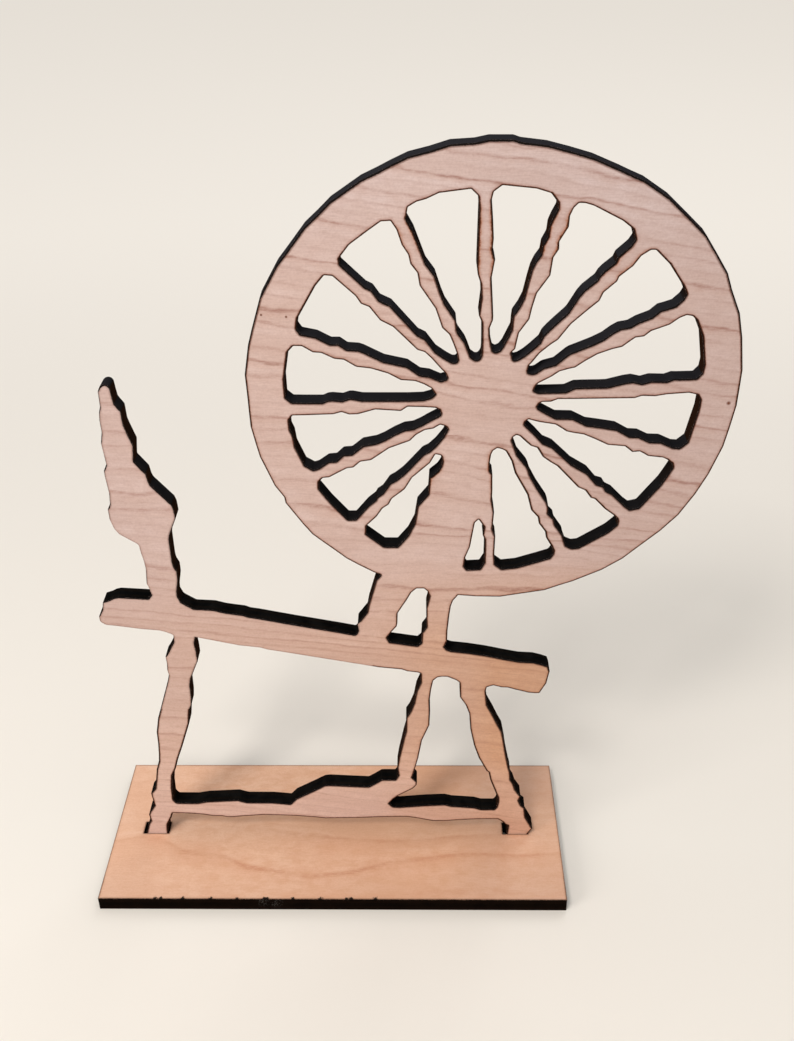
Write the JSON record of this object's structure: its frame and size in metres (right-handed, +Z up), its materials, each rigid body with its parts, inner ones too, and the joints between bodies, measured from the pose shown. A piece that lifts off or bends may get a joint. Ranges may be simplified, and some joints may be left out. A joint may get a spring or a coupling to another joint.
{
  "type": "spinning wheel silhouette stand",
  "caption": "Flat spinning wheel silhouette with spoked wheel, distaff, legs and treadle, standing by its feet in two slots of a flat base.",
  "frame": {"origin": "centre of the base's underside, on the table", "axes": "+X to the viewer's right along the base, +Y away from the viewer through the panel, +Z up"},
  "size_m": [0.2421, 0.0778, 0.3048],
  "materials": {
    "panel_wood": "bare sheet wood, flat faces smooth, cut edges charred dark brown",
    "base_wood": "bare sheet wood, flat faces smooth, cut edges charred dark brown"
  },
  "bodies": {
    "base": {"base_plate": "base_wood"},
    "panel": {"wheel_panel": "panel_wood"}
  },
  "joints": [
    {"name": "panel_lift", "type": "slide", "parent": "base", "child": "panel", "axis": [0, 0, 1], "range_m": [0, 0.01]}
  ]
}
